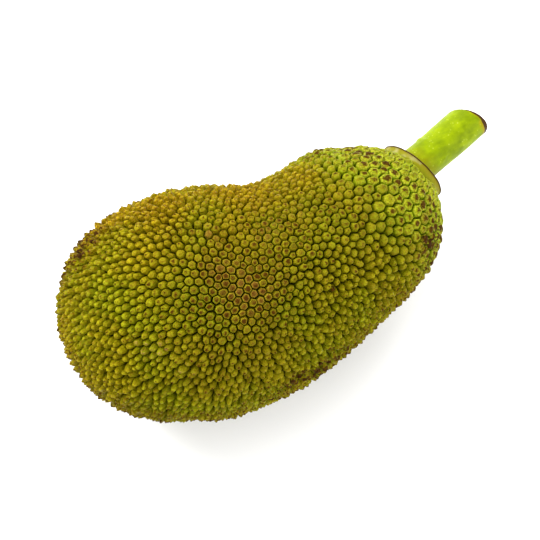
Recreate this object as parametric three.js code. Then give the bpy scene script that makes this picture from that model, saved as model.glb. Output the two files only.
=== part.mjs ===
// A whole jackfruit, as picked, lying on its side: the fruit, the smooth collar at its stem end and
// the cut stem. Millimetres, +Z up. +X runs along the fruit towards the stem, and the hollow side of
// its slight bend faces +Y. The origin is the middle of the box around it, on the surface it rests on.
// The fruit's skin is the surface on which the tips of its spines lie.
import * as THREE from "three";

// ---- Driving dimensions ----------------------------------------------------------------------------

const FRUIT_LENGTH = 361; // along X, from the blossom end to where the form would close at the stem
const STEM_END = 0.972; // the share of that length at which the fruit meets its collar
const FLAT_SPOT_DEPTH = 2.5; // how much the fruit's weight flattens its underside

// The fruit's form at even steps from the blossom end to the stem end. Sway is how far its middle line
// lies towards +Y, lift how high it lies, and the half sizes are those of the swelling across it,
// which the round ends then draw in.
const STATIONS = [
  { sway: -7, lift: 103, halfWidth: 137, halfHeight: 123 },
  { sway: -1, lift: 102, halfWidth: 129, halfHeight: 118 },
  { sway: 5, lift: 101, halfWidth: 120, halfHeight: 112 },
  { sway: -2, lift: 99, halfWidth: 108, halfHeight: 105 },
  { sway: -13, lift: 97, halfWidth: 97, halfHeight: 99 },
  { sway: -12, lift: 95, halfWidth: 85, halfHeight: 95 },
  { sway: -1, lift: 93, halfWidth: 91, halfHeight: 94 },
  { sway: 7, lift: 92, halfWidth: 110, halfHeight: 97 },
  { sway: 26, lift: 91, halfWidth: 103, halfHeight: 104 },
];

// Two gentle waves round the fruit, each a share of its radius, keep it from being a perfect round.
const LUMPS = [
  { share: 0.008, round: 3, along: 5, start: 1.1 },
  { share: 0.005, round: 5, along: -11, start: 0.4 },
];

const COLLAR_FOOT_RADIUS = 34.2;
const COLLAR_RIM_RADIUS = 32.2;
const COLLAR_HEIGHT = 8.2;
const COLLAR_LIP = 1.2; // the rim's thickness, and how sharply its edge is rounded
const COLLAR_WAIST_DEPTH = 0.8; // how far the cuff draws in between its foot and its rim
const COLLAR_WAIST_SHARE = 0.4; // the share of its height at which it does so
const DISH_DEPTH = 2.8; // of the hollow inside the rim, from which the stem grows
const DISH_WALL_SHARE = 0.82; // of the rim's radius, where the hollow's wall is steepest
const DISH_FLOOR_SHARE = 0.6; // of the rim's radius, within which the hollow is level

const STEM_RADIUS = 18.2;
const STEM_LENGTH = 73.8; // to the middle of the cut
const STEM_FOOT_FLARE = 0.9; // how much wider the stem is where it leaves the dish
const STEM_END_FLARE = 0.3; // how much wider it is at the cut
const STEM_EDGE = 2; // the rounding at the cut end's edge
const STEM_EVEN = { from: 0.15, to: 0.7 }; // the shares of its length between which it is evenly thick
const STEM_OFFSET = 2; // how far off the collar's middle it grows, towards +Y
const STEM_LEAN = -0.18; // sideways run per unit of height, at the foot, towards -Y
const STEM_BOW = 0.0004; // how the stem curves back towards +Y, per mm of height squared
const CUT_SLANT = { sideways: -0.31, upwards: 0.26 }; // how the slanting cut lengthens the stem's sides

const GAP = 0.3; // clear space between two pieces that touch
const STEPS_ALONG = 54; // facets from one end of the fruit to the other
const STEPS_AROUND = 48; // facets round the fruit

// ---- The fruit's form ------------------------------------------------------------------------------

/** One of the stations' sizes at a share of the fruit's length, on a cubic B-spline along them. */
function sizeAt(name, share) {
  const last = STATIONS.length - 1;
  const place = THREE.MathUtils.clamp(share, 0, 1) * last;
  const before = Math.min(Math.floor(place), last - 1);
  const past = place - before;
  const station = (step) => {
    const nearest = THREE.MathUtils.clamp(step, 0, last);
    const inner = STATIONS[nearest][name];
    return nearest === step ? inner : 2 * inner - STATIONS[nearest === 0 ? 1 : last - 1][name];
  };
  const weights = [
    (1 - past) ** 3,
    3 * past ** 3 - 6 * past ** 2 + 4,
    -3 * past ** 3 + 3 * past ** 2 + 3 * past + 1,
    past ** 3,
  ];
  return weights.reduce((sum, weight, index) => sum + weight * station(before - 1 + index), 0) / 6;
}

/** The fruit's middle, its half sizes and the level direction across it, at a share of its length. */
function sectionAt(share) {
  const reach = 0.001;
  const from = Math.max(share - reach, 0);
  const to = Math.min(share + reach, 1);
  const turn = Math.atan2(sizeAt("sway", to) - sizeAt("sway", from), (to - from) * FRUIT_LENGTH);
  return {
    middle: new THREE.Vector3((share - 0.5) * FRUIT_LENGTH, sizeAt("sway", share), sizeAt("lift", share)),
    turn,
    across: new THREE.Vector3(-Math.sin(turn), Math.cos(turn), 0),
    halfWidth: sizeAt("halfWidth", share),
    halfHeight: sizeAt("halfHeight", share),
  };
}

/** How far the lumps move the skin at this place, as a factor on its radius. */
function lumpsAt(share, angle) {
  return LUMPS.reduce(
    (sum, { share: size, round, along, start }) =>
      sum + size * Math.sin(round * angle + along * share + start),
    1,
  );
}

/** A half circle that stops at the collar and closes on the axis, as points for LatheGeometry. */
function fruitProfile() {
  const lastAngle = Math.acos(1 - 2 * STEM_END);
  const points = [];
  for (let step = 0; step <= STEPS_ALONG; step++) {
    const angle = (step / STEPS_ALONG) * lastAngle;
    points.push(new THREE.Vector2(Math.sin(angle), -Math.cos(angle)));
  }
  points[0].x = 0;
  points.push(new THREE.Vector2(0, points.at(-1).y));
  return points;
}

/** The fruit: a ball, stretched to the form above, with its underside pressed flat where it rests. */
function makeFruit() {
  const geometry = new THREE.LatheGeometry(fruitProfile(), STEPS_AROUND);
  const position = geometry.getAttribute("position");
  const floor = lowestOf(geometry) + FLAT_SPOT_DEPTH;
  for (let index = 0; index < position.count; index++) {
    const skin = skinPoint(new THREE.Vector3().fromBufferAttribute(position, index));
    position.setXYZ(index, skin.x, skin.y, Math.max(skin.z, floor));
  }
  return geometry;
}

/** Where a point of the unit ball, with its poles on Y, lies on the fruit's skin. */
function skinPoint(ball) {
  const share = (ball.y + 1) / 2;
  const { middle, across, halfWidth, halfHeight } = sectionAt(share);
  const lump = lumpsAt(share, Math.atan2(ball.z, ball.x));
  return middle
    .addScaledVector(across, -ball.z * halfWidth * lump)
    .add(new THREE.Vector3(0, 0, -ball.x * halfHeight * lump));
}

/** The height of the skin's lowest point before it is pressed flat. */
function lowestOf(geometry) {
  const position = geometry.getAttribute("position");
  let lowest = Infinity;
  for (let index = 0; index < position.count; index++) {
    const ball = new THREE.Vector3().fromBufferAttribute(position, index);
    lowest = Math.min(lowest, skinPoint(ball).z);
  }
  return lowest;
}

// ---- The collar and the stem -----------------------------------------------------------------------

/** The collar: a short cuff that narrows to a thin rim, with a shallow dish inside it. */
function makeCollar() {
  const rim = COLLAR_RIM_RADIUS;
  const waist = rim - COLLAR_WAIST_DEPTH;
  const dish = COLLAR_HEIGHT - DISH_DEPTH;
  const outline = new THREE.Path()
    .moveTo(0, 0)
    .lineTo(COLLAR_FOOT_RADIUS, 0)
    .quadraticCurveTo(waist, COLLAR_WAIST_SHARE * COLLAR_HEIGHT, rim, COLLAR_HEIGHT - COLLAR_LIP)
    .quadraticCurveTo(rim, COLLAR_HEIGHT, rim - COLLAR_LIP, COLLAR_HEIGHT)
    .quadraticCurveTo(DISH_WALL_SHARE * rim, dish, DISH_FLOOR_SHARE * rim, dish)
    .lineTo(0, dish);
  return new THREE.LatheGeometry(outline.getPoints(5), 40);
}

/** The stem: a stout stalk that leans and bows a little, with a slanting cut at its end. */
function makeStem() {
  const body = STEM_LENGTH - STEM_EDGE;
  const endRadius = STEM_RADIUS + STEM_END_FLARE;
  const outline = new THREE.Path()
    .moveTo(0, 0)
    .lineTo(STEM_RADIUS + STEM_FOOT_FLARE, 0)
    .bezierCurveTo(STEM_RADIUS, STEM_EVEN.from * body, STEM_RADIUS, STEM_EVEN.to * body, endRadius, body)
    .quadraticCurveTo(endRadius, STEM_LENGTH, endRadius - STEM_EDGE, STEM_LENGTH)
    .lineTo(0, STEM_LENGTH);
  const geometry = new THREE.LatheGeometry(outline.getPoints(8), 32);
  const position = geometry.getAttribute("position");
  for (let index = 0; index < position.count; index++) {
    const [up, height, side] = [-position.getX(index), position.getY(index), -position.getZ(index)];
    const slant = CUT_SLANT.sideways * side + CUT_SLANT.upwards * up;
    const cutHeight = height * (1 + slant / STEM_LENGTH);
    position.setY(index, cutHeight);
    position.setZ(index, -(side + STEM_LEAN * cutHeight + STEM_BOW * cutHeight ** 2));
  }
  return geometry;
}

/** Stands a lathe's Y axis along +X, with its -Z towards +Y. */
const lyingAlongX = (geometry) => geometry.applyMatrix4(
  new THREE.Matrix4().makeBasis(
    new THREE.Vector3(0, 0, -1),
    new THREE.Vector3(1, 0, 0),
    new THREE.Vector3(0, -1, 0),
  ),
);

// ---- Finishes and the assembly ---------------------------------------------------------------------

const FINISHES = {
  rind: new THREE.MeshStandardMaterial({ color: 0x8a841c, roughness: 0.62, metalness: 0 }),
  collar: new THREE.MeshStandardMaterial({ color: 0xb9b84a, roughness: 0.5, metalness: 0 }),
  stalk: new THREE.MeshStandardMaterial({ color: 0x9bbf12, roughness: 0.45, metalness: 0 }),
};

/** A named mesh of a geometry. */
function piece(name, geometry, finish) {
  const mesh = new THREE.Mesh(geometry, finish);
  mesh.name = name;
  return mesh;
}

/** The collar and the stem, standing on the fruit's end and turned as the fruit is there. */
function makeStemEnd() {
  const { middle, turn } = sectionAt(STEM_END);
  const end = new THREE.Group();
  end.position.copy(middle);
  end.rotation.z = turn;
  const collar = piece("collar", lyingAlongX(makeCollar()), FINISHES.collar);
  const stem = piece("stem", lyingAlongX(makeStem()), FINISHES.stalk);
  collar.position.x = GAP;
  stem.position.set(collar.position.x + COLLAR_HEIGHT - DISH_DEPTH + GAP, STEM_OFFSET, 0);
  end.add(collar, stem);
  return end;
}

const jackfruit = new THREE.Group();
const pieces = new THREE.Group();
pieces.add(piece("fruit", makeFruit(), FINISHES.rind), makeStemEnd());
jackfruit.add(pieces);

// Moves the pieces so that the origin is the middle of their box, on the surface they rest on.
const box = new THREE.Box3().setFromObject(pieces, true);
const middle = box.getCenter(new THREE.Vector3());
pieces.position.set(-middle.x, -middle.y, -box.min.z);

export default jackfruit;
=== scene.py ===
"""The looks of a whole jackfruit lying on its side: its spiny rind, its collar and its cut stem.

Sizes are metres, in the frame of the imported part: +X runs along the fruit towards the stem, +Y is
the side its hollow bend faces, and +Z is up as it lies. Colours are linear red, green and blue.
"""

import math

import bmesh
import bpy
import numpy as np
from bpy.props import FloatProperty, FloatVectorProperty, IntProperty, PointerProperty
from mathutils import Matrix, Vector, noise
from mathutils.bvhtree import BVHTree
from mathutils.kdtree import KDTree


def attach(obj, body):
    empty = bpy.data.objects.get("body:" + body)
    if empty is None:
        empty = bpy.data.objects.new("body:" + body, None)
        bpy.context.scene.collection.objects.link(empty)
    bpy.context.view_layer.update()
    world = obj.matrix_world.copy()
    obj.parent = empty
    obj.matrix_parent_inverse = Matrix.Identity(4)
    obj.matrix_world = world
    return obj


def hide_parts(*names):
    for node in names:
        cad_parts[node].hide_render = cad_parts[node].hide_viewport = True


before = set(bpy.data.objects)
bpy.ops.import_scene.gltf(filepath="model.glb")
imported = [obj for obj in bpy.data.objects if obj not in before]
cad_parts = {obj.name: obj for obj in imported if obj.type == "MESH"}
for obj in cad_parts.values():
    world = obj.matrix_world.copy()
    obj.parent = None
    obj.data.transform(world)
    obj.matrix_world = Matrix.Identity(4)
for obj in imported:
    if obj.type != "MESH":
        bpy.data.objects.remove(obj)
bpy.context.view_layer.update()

bl_info = {
    "name": "Jackfruit",
    "version": (1, 0, 0),
    "blender": (4, 5, 0),
    "location": "3D View > Sidebar > Jackfruit",
    "description": "Builds a whole jackfruit with its rind of spines, its collar and its cut stem",
    "category": "Object",
}

BODY = "root"


# ---- Where the stem end is --------------------------------------------------------------------------


def node_points(name):
    """The corners of a CAD node, as an array."""
    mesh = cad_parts[name].data
    points = np.empty(len(mesh.vertices) * 3, np.float32)
    mesh.vertices.foreach_get("co", points)
    return points.reshape(-1, 3).astype(float)


class StemEnd:
    """The collar's place: its foot's middle, the way it points, and the level way across it."""

    def __init__(self):
        points = np.unique(node_points("collar").round(6), axis=0)
        middle = points.mean(0)
        spread = points - middle
        along = np.linalg.eigh(spread.T @ spread)[1][:, 0]
        along *= np.sign(along[0])
        along[2] = 0
        self.along = along / np.linalg.norm(along)
        self.up = np.array([0.0, 0.0, 1.0])
        self.across = np.cross(self.up, self.along)
        heights = spread @ self.along
        self.foot = middle + self.along * heights.min()
        self.height = heights.max() - heights.min()

    def place(self, height, across, up):
        """A point, or an array of them, at this height over the foot and this far across and up."""
        return (
            self.foot
            + np.multiply.outer(height, self.along)
            + np.multiply.outer(across, self.across)
            + np.multiply.outer(up, self.up)
        )


STEM_END = StemEnd()


# ---- Materials --------------------------------------------------------------------------------------


CLOUD_ROUGHNESS = 0.55  # of every noise: how much its smaller features count


class Wire:
    """A shader node's output. Arithmetic on it adds Math nodes."""

    def __init__(self, finish, socket):
        self.finish = finish
        self.socket = socket

    def math(self, operation, *values):
        settings = {"operation": operation}
        return self.finish.add("ShaderNodeMath", settings, dict(enumerate([self, *values])))

    def __add__(self, other):
        return self.math("ADD", other)

    def __sub__(self, other):
        return self.math("SUBTRACT", other)

    def __mul__(self, other):
        return self.math("MULTIPLY", other)

    def __rsub__(self, other):
        return (self * -1) + other

    __radd__ = __add__
    __rmul__ = __mul__

    def step(self, low, high):
        """0 below low, 1 above high, and a smooth rise between them."""
        settings = {"interpolation_type": "SMOOTHSTEP"}
        sockets = {"Value": self, "From Min": low, "From Max": high}
        return self.finish.add("ShaderNodeMapRange", settings, sockets)

    def fall(self, low, high):
        """1 below low, 0 above high, and a smooth fall between them."""
        return 1 - self.step(low, high)


class Finish:
    """A material in the making, with a Principled shader at its end."""

    def __init__(self, name, **constants):
        self.material = bpy.data.materials.new(name)
        self.material.use_nodes = True
        self.tree = self.material.node_tree
        self.tree.nodes.clear()
        end = self.tree.nodes.new("ShaderNodeOutputMaterial")
        self.shader = self.tree.nodes.new("ShaderNodeBsdfPrincipled")
        self.tree.links.new(self.shader.outputs["BSDF"], end.inputs["Surface"])
        for socket, value in constants.items():
            self.shader.inputs[socket.replace("_", " ")].default_value = value

    def add(self, kind, settings=None, sockets=None, output=0):
        """A node of this kind, with its settings made first and then its sockets, as a Wire."""
        node = self.tree.nodes.new(kind)
        for name, value in (settings or {}).items():
            if name == "stops":
                set_stops(node.color_ramp, value)
            else:
                setattr(node, name, value)
        for name, value in (sockets or {}).items():
            self.feed(node.inputs[name], value)
        return Wire(self, node.outputs[output])

    def feed(self, socket, value):
        """Links a socket to a Wire, or gives it a number, a vector or a colour."""
        if isinstance(value, Wire):
            self.tree.links.new(value.socket, socket)
        elif socket.type == "RGBA":
            socket.default_value = (*value[:3], 1)
        else:
            socket.default_value = value

    def attribute(self, name):
        """One of the numbers that the piece's mesh carries."""
        return self.add("ShaderNodeAttribute", {"attribute_name": name}, output="Fac")

    def place(self):
        """Where on the piece a point is."""
        return self.add("ShaderNodeTexCoord", output="Object")

    def cloud(self, scale, detail=3, vector=None):
        """Noise over the piece, from about 0 to 1, with features 1 / scale metres apart."""
        sockets = {
            "Vector": vector or self.place(),
            "Scale": scale,
            "Detail": detail,
            "Roughness": CLOUD_ROUGHNESS,
        }
        return self.add("ShaderNodeTexNoise", {}, sockets)

    def blend(self, share, first, second, mode="MIX"):
        """The second colour over the first, by this share."""
        settings = {"data_type": "RGBA", "blend_type": mode}
        node = self.add("ShaderNodeMix", settings, {0: share}).socket.node
        self.feed(node.inputs[6], first)
        self.feed(node.inputs[7], second)
        return Wire(self, node.outputs[2])

    def tinted(self, colour, tint):
        """The colour, with each of its parts multiplied by the tint's."""
        return self.blend(1.0, colour, tint, "MULTIPLY")

    def ramp(self, share, stops):
        """The colour at this share of the way along these (place, colour) stops."""
        return self.add("ShaderNodeValToRGB", {"stops": stops}, {"Fac": share})

    def bump(self, height, distance, strength):
        """Small relief, this many metres deep."""
        sockets = {"Height": height, "Distance": distance, "Strength": strength}
        return self.add("ShaderNodeBump", {}, sockets)

    def ends(self, **wires):
        """Feeds the shader's own sockets and gives the material back."""
        for name, wire in wires.items():
            self.feed(self.shader.inputs[name.replace("_", " ")], wire)
        return self.material


def set_stops(ramp, stops):
    """Gives a colour ramp these (place, colour) stops."""
    while len(ramp.elements) < len(stops):
        ramp.elements.new(1.0)
    for element, (place, colour) in zip(ramp.elements, stops):
        element.position = place
        element.color = (*colour[:3], 1)


SKIN_SHINE = (0.9, 0.85, 0.3, 1)  # the tint of the waxy skin's faint shine
STALK_SHINE = (0.9, 1.0, 0.3, 1)

# What the rind's colour is multiplied by where it is worn, golden, greener, darker and paler. The worn
# tint is partly the worn spines' own duller colour and partly painted shade on the fruit's upper face.
WORN_AND_SHADE_TINT = (0.62, 0.61, 0.92)
GOLD_TINT = (1.25, 0.92, 0.50)
GREEN_TINT = (0.80, 1.06, 0.80)
DARK_TINT = (0.62, 0.58, 0.50)
PALE_TINT = (1.30, 1.25, 1.20)

WORN_EDGE_HIGHLIGHT_SHARE = 1.25  # how much paler than usual a worn spine's upper edge is: partly its own paler skin, partly a painted highlight

# The fresh spines by the stem, from their foot to their top: (rise, colour). Their dark foot is partly
# painted shade in the grooves, and their pale band near the top partly a painted highlight on the
# upper edges.
FRESH_STOPS_WITH_PAINTED_LIGHT = (
    (0.12, (0.024, 0.048, 0.001)),
    (0.34, (0.125, 0.195, 0.001)),
    (0.54, (0.215, 0.295, 0.001)),
    (0.62, (0.470, 0.500, 0.034)),
    (0.76, (0.420, 0.445, 0.019)),
    (0.85, (0.235, 0.285, 0.003)),
)

TAN = (0.170, 0.078, 0.002)
BLUSH = (0.270, 0.080, 0.025)
CHAFED = (0.400, 0.220, 0.080)
SCORCHED = (0.030, 0.009, 0.002)


def spine_skin(finish, sizes, level):
    """The spines' skin from their foot to their top: usual, worn flat, and fresh by the stem. Its dark
    grooves are partly painted shade and its pale shoulders partly a painted highlight.
    """
    shaded_groove, flank, lit_shoulder = sizes.shaded_groove_colour, sizes.flank_colour, sizes.shoulder_highlight_colour
    crown = sizes.crown_colour
    edge = tuple(part * WORN_EDGE_HIGHLIGHT_SHARE for part in lit_shoulder)
    # Painted shade darkens the grooves and a painted highlight lightens the shoulders, on top of their
    # own colours.
    usual = finish.ramp(level, [(0.12, shaded_groove), (0.42, flank), (0.70, flank), (0.95, lit_shoulder)])
    worn_stops = [(0.14, shaded_groove), (0.36, flank), (0.50, flank), (0.62, edge), (0.77, edge)]
    worn_stops += [(0.85, crown), (1.0, crown)]
    # The worn ramp is tinted darker: partly the worn spines' own colour, partly painted shade on the
    # fruit's upper face.
    worn = finish.tinted(finish.ramp(level, worn_stops), WORN_AND_SHADE_TINT)
    skin = finish.blend(finish.attribute("worn"), usual, worn)
    return finish.blend(finish.attribute("fresh"), skin, finish.ramp(level, FRESH_STOPS_WITH_PAINTED_LIGHT))


def mottled(finish, skin, speck):
    """The skin, golden or greener in broad patches, and darker or paler from spine to spine."""
    broad = finish.cloud(22)
    tone = finish.attribute("tone")
    gold = finish.attribute("gold") + (broad - 0.5) * 0.5
    colour = finish.blend(gold, skin, finish.tinted(skin, GOLD_TINT))
    colour = finish.blend(broad.fall(0.36, 0.56) * 0.55, colour, finish.tinted(colour, GREEN_TINT))
    darker = finish.tinted(colour, DARK_TINT)
    colour = finish.blend(tone.step(0.35, 1.0) * 0.5, colour, darker)
    colour = finish.blend(tone.fall(0.0, 0.45) * 0.35, colour, finish.tinted(colour, PALE_TINT))
    return finish.blend(speck.step(0.56, 0.75) * 0.25, colour, darker)


def rind_finish(sizes):
    """The rind: dark green grooves, green flanks, paler shoulders and brown tips on its spines; the
    grooves' darkness is partly painted shade and the shoulders' paleness partly a painted highlight.
    """
    finish = Finish("jackfruit_rind", Specular_IOR_Level=0.08, Specular_Tint=SKIN_SHINE)
    rise = finish.attribute("rise")
    brown = finish.attribute("brown")
    fine = finish.cloud(900, detail=4)
    speck = finish.cloud(2600, detail=2)
    blotch = finish.cloud(380)
    flecks = finish.cloud(620)
    level = rise + (fine - 0.5) * 0.14
    colour = mottled(finish, spine_skin(finish, sizes, level), speck)

    tan = 0.50 + finish.attribute("gold") * 0.4 + brown * 0.3
    tan = flecks.step(0.49, 0.58) * level.step(0.30, 0.70) * tan
    colour = finish.blend(tan, colour, TAN)
    blush = finish.attribute("pink") * (rise + (flecks - 0.5) * 1.4).step(0.45, 0.75)
    colour = finish.blend(blush * 0.38, colour, BLUSH)

    edge = rise + (fine - 0.5) * 0.20 + (blotch - 0.5) * 0.55 + brown * 0.24
    ring = edge.step(0.92, 1.02) * (0.3 + finish.attribute("worn") * 0.4)
    colour = finish.blend(ring, colour, sizes.ring_colour)
    spot = edge.step(1.0, 1.09)
    colour = finish.blend(spot * 0.92, colour, sizes.spot_colour)

    scuff = finish.attribute("chafed") * (rise * 0.5 + fine).step(0.95, 1.05)
    colour = finish.blend(scuff * 0.7, colour, CHAFED)
    scorched = (brown - 0.55 + (blotch - 0.5) * 4.0).step(0.6, 0.9) * level.step(0.35, 0.70)
    colour = finish.blend(scorched * 0.85, colour, SCORCHED)

    normal = finish.bump(fine * 0.25 + speck * 0.08 + blotch, 0.0032, 0.8)
    roughness = 0.46 + spot * 0.3 + fine * 0.16
    return finish.ends(Base_Color=colour, Roughness=roughness, Normal=normal)


# The collar's skin from its foot to its rim, then the stem's bark from dark to pale patches.
CUFF_STOPS = (
    (0.00, (0.12, 0.13, 0.001)),
    (0.40, (0.19, 0.19, 0.003)),
    (0.75, (0.25, 0.22, 0.010)),
    (1.00, (0.23, 0.18, 0.015)),
)
BARK_STOPS = (
    (0.30, (0.14, 0.20, 0.001)),
    (0.50, (0.20, 0.275, 0.001)),
    (0.70, (0.27, 0.35, 0.001)),
)
# The cut face from its middle to its rim.
WOOD_STOPS = (
    (0.00, (0.42, 0.32, 0.16)),
    (0.35, (0.60, 0.50, 0.28)),
    (0.74, (0.55, 0.44, 0.20)),
    (0.86, (0.16, 0.07, 0.02)),
    (1.00, (0.06, 0.02, 0.006)),
)
CUFF_OCHRE = (0.24, 0.19, 0.01)
BARK_STAIN = (0.34, 0.20, 0.002)


def collar_finish(sizes):
    """The collar: smooth pale skin, faintly patched, with a thin dried rim and an olive dish."""
    finish = Finish("jackfruit_collar", Specular_IOR_Level=0.12, Specular_Tint=SKIN_SHINE)
    patch = finish.cloud(48)
    fine = finish.cloud(700, detail=4)
    colour = finish.ramp(finish.attribute("climb") + (patch - 0.5) * 0.7, CUFF_STOPS)
    colour = finish.blend(patch.step(0.54, 0.66) * 0.5, colour, sizes.pale_colour)
    colour = finish.blend(patch.fall(0.34, 0.46) * 0.5, colour, CUFF_OCHRE)
    dish = finish.attribute("dish") * (0.6 + fine * 0.4)
    colour = finish.blend(dish, colour, sizes.dish_colour)
    dried = finish.attribute("rim") + (fine - 0.5) * 0.35 + (patch - 0.5) * 0.5
    colour = finish.blend(dried.step(0.40, 0.65), colour, sizes.rim_colour)
    normal = finish.bump(fine, 0.0004, 0.5)
    return finish.ends(Base_Color=colour, Roughness=0.45 + fine * 0.2, Normal=normal)


def stem_finish(sizes):
    """The stem: lime-green bark with pale specks, olive at its foot, and a cut end dried brown."""
    finish = Finish("jackfruit_stem", Specular_IOR_Level=0.12, Specular_Tint=STALK_SHINE)
    face = finish.attribute("face")
    reach = finish.attribute("reach")
    dried = finish.attribute("dried")
    streak = finish.cloud(1.0, vector=stretched(finish, (60, 260, 260)))
    patch = finish.cloud(70, detail=4)
    fine = finish.cloud(1200)
    sockets = {"Vector": finish.place(), "Scale": 300.0}
    speck = finish.add("ShaderNodeTexVoronoi", {"feature": "F1"}, sockets)

    bark = finish.ramp(patch + (streak - 0.5) * 0.4, BARK_STOPS)
    foot = (finish.attribute("climb") + (patch - 0.5) * 0.3).fall(0.02, 0.30)
    bark = finish.blend(foot * 0.85, bark, sizes.foot_colour)
    dots = speck.fall(0.12, 0.30) * patch.step(0.42, 0.6)
    bark = finish.blend(dots * 0.6, bark, sizes.speck_colour)
    stain = reach + dried * 0.55 + (patch - 0.5) * 0.9
    bark = finish.blend(stain.step(0.92, 1.35) * 0.8, bark, BARK_STAIN)
    burnt = reach + dried * 0.30 + (patch - 0.5) * 0.25 + (fine - 0.5) * 0.10 - 0.04
    bark = finish.blend(burnt.step(0.96, 1.0), bark, sizes.edge_colour)

    wood = finish.ramp(finish.attribute("core") + (fine - 0.5) * 0.25, WOOD_STOPS)
    colour = finish.blend(face, bark, wood)
    height = fine * 0.5 + streak + speck.fall(0.05, 0.25) * 0.8
    normal = finish.bump(height, 0.00025, 0.6)
    roughness = 0.40 + face * 0.35 + patch * 0.12
    return finish.ends(Base_Color=colour, Roughness=roughness, Normal=normal)


def stretched(finish, scale):
    """Object coordinates drawn out along the stem, for its faint streaks."""
    turn = math.atan2(STEM_END.along[1], STEM_END.along[0])
    sockets = {"Vector": finish.place(), "Rotation": (0, 0, -turn), "Scale": scale}
    return finish.add("ShaderNodeMapping", {"vector_type": "POINT"}, sockets)


def floor_finish(colour):
    """The floor: plain and dull, with the faintest clouds of grey."""
    finish = Finish("pale_floor", Roughness=0.9, Specular_IOR_Level=0.1)
    return finish.ends(Base_Color=finish.blend(finish.cloud(3) * 0.04, colour, (0.8, 0.8, 0.8)))


# ---- What every piece shares ------------------------------------------------------------------------


def linked(name, data):
    """A mesh, a light or a camera as an object in the scene."""
    piece = bpy.data.objects.new(name, data)
    bpy.context.scene.collection.objects.link(piece)
    return piece


def paint(mesh, **values):
    """Stores one number for each of the mesh's points; points past the last number repeat it."""
    for name, numbers in values.items():
        data = np.asarray(numbers, np.float32)
        extra = len(mesh.vertices) - len(data)
        data = np.concatenate([data, np.full(extra, data[-1])])
        mesh.attributes.new(name, "FLOAT", "POINT").data.foreach_set("value", data)


def finished(piece, node, material):
    """Hands a finished piece over: it rides on the fruit's body and stands for its CAD node."""
    if not piece.data.materials:
        piece.data.materials.append(material)
    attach(piece, BODY)
    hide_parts(node)


# ---- The rind's net ---------------------------------------------------------------------------------


SAME_POINT = 1e-6  # the distance within which two of the skin's corners are one


def fruit_skin():
    """The CAD fruit's skin, merged, as triangles and as a tree that finds its nearest point."""
    skin = bmesh.new()
    skin.from_mesh(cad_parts["fruit"].data)
    bmesh.ops.remove_doubles(skin, verts=skin.verts, dist=SAME_POINT)
    bmesh.ops.triangulate(skin, faces=skin.faces)
    skin.verts.index_update()
    corners = np.array([vertex.co for vertex in skin.verts])
    faces = np.array([[vertex.index for vertex in face.verts] for face in skin.faces])
    tree = BVHTree.FromBMesh(skin)
    skin.free()
    return corners, faces, tree


# Where the spines are finer or coarser than usual: (place, reach, how much).
SPACING_PLACES = (
    ((-0.066, -0.030, 0.195), 0.062, -0.07),
    ((0.005, 0.040, 0.175), 0.050, -0.06),
    ((-0.190, 0.000, 0.120), 0.070, -0.05),
    ((-0.060, 0.000, 0.000), 0.090, 0.22),
)
COARSE_MIDDLE = 0.082  # the distance from the collar's foot at which the spines are coarsest
COARSE_REACH = 0.045  # how far on both sides of it they are coarse
COARSE_SHARE = 0.44  # how much coarser than usual
COARSE_FROM = 0.095  # the height over the floor from which they coarsen
COARSE_RISE = 0.055  # the height over which they do so
NARROW_REACH = 0.068  # from the collar's foot, within which they narrow towards it
NARROW_SHARE = 0.30
STRETCH_REACH = 0.090  # from the collar's foot, within which they are drawn out towards it
STRETCH_SHARE = 2.0


def nearness(points, reach):
    """1 at the collar's foot, falling smoothly to 0 at this reach."""
    near = np.clip(1 - np.linalg.norm(points - STEM_END.foot, axis=1) / reach, 0, 1)
    return near * near * (3 - 2 * near)


def spine_spacing(points, usual):
    """How far apart the spines are at these points of the skin."""
    past = np.linalg.norm(points - STEM_END.foot, axis=1) - COARSE_MIDDLE
    high = np.clip((points[:, 2] - COARSE_FROM) / COARSE_RISE, 0, 1)
    share = 1 + COARSE_SHARE * high * np.exp(-((past / COARSE_REACH) ** 2))
    share -= NARROW_SHARE * nearness(points, NARROW_REACH)
    for place, reach, amount in SPACING_PLACES:
        share += amount * np.exp(-((points - place) ** 2).sum(1) / reach**2)
    return usual * share


def stretch_at(points):
    """How many times longer than wide the spines are, seen from the collar."""
    return 1 + STRETCH_SHARE * nearness(points, STRETCH_REACH)


CELL_AREA = 0.87  # of one spine, as a share of the square of its spacing
TINY = 1e-6  # keeps a length that may be zero out of a division


def scattered_points(corners, faces, usual, draw):
    """Points all over the skin, closer together where the spines are finer."""
    a, b, c = (corners[faces[:, k]] for k in range(3))
    middles = (a + b + c) / 3
    area = np.linalg.norm(np.cross(b - a, c - a), axis=1) / 2
    share = area / (spine_spacing(middles, usual) ** 2 * stretch_at(middles))
    count = int(share.sum() / CELL_AREA)
    chosen = draw.choice(len(faces), count, p=share / share.sum())
    u, v = draw.random((2, count))
    over = u + v > 1
    u[over], v[over] = 1 - u[over], 1 - v[over]
    return a[chosen] + u[:, None] * (b - a)[chosen] + v[:, None] * (c - a)[chosen]


NEIGHBOURS = 10  # that push a point away
PUSH = 0.34  # how much of its push a point follows in a round
PUSH_REACH = 0.62  # how far a push reaches, as a share of the two points' spacings together


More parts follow.
